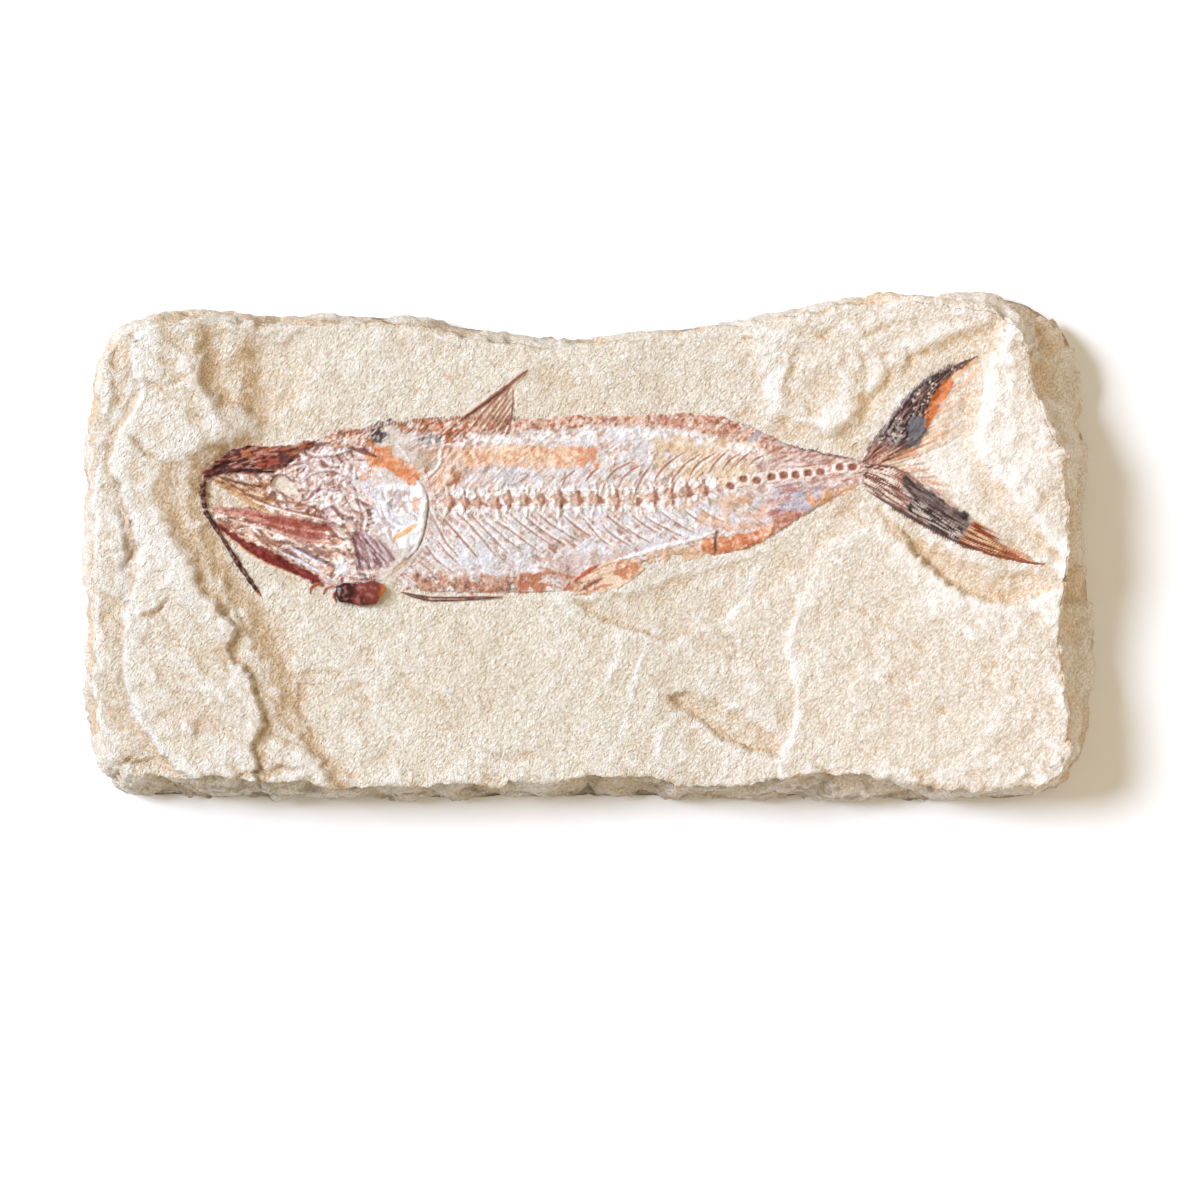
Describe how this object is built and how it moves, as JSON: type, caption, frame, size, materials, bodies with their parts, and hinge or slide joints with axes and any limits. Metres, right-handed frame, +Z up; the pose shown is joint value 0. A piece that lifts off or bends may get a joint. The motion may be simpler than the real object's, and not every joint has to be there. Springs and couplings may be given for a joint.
{
  "type": "fossil fish slab",
  "caption": "Split slab of pale limestone lying flat, with a fossil fish bedded in its face: dark skull, silvery flanks, ribs, backbone and forked tail.",
  "frame": {"origin": "middle of the slab's flat underside", "axes": "+X along the slab from the fish's head to its tail, +Y across it towards the fish's back, +Z up out of the split face"},
  "size_m": [0.2603, 0.1317, 0.0229],
  "materials": {
    "limestone": "matt, fine grained and pitted, cream with tan hollows and chalky white edges",
    "dark_bone": "hard maroon-black fossil bone, half gloss",
    "pink_bone": "fibrous pinkish brown fossil bone, half matt",
    "silver_scale": "pale silvery film of scales over stone, with rust stains",
    "rust_ray": "rust brown fossil fin rays, half matt"
  },
  "bodies": {
    "root": {"stone_slab": "limestone", "skull": "dark_bone", "lower_jaw": "pink_bone", "gill_cover": "silver_scale", "back_flank": "silver_scale", "belly_flank": "silver_scale", "backbone": "pink_bone", "dorsal_fin": "rust_ray", "pelvic_fin": "dark_bone", "anal_fin": "rust_ray", "tail_fin_upper": "dark_bone", "tail_fin_lower": "rust_ray", "loose_rod_short": "dark_bone", "loose_rod_long": "dark_bone", "dark_lump": "dark_bone"}
  },
  "joints": []
}
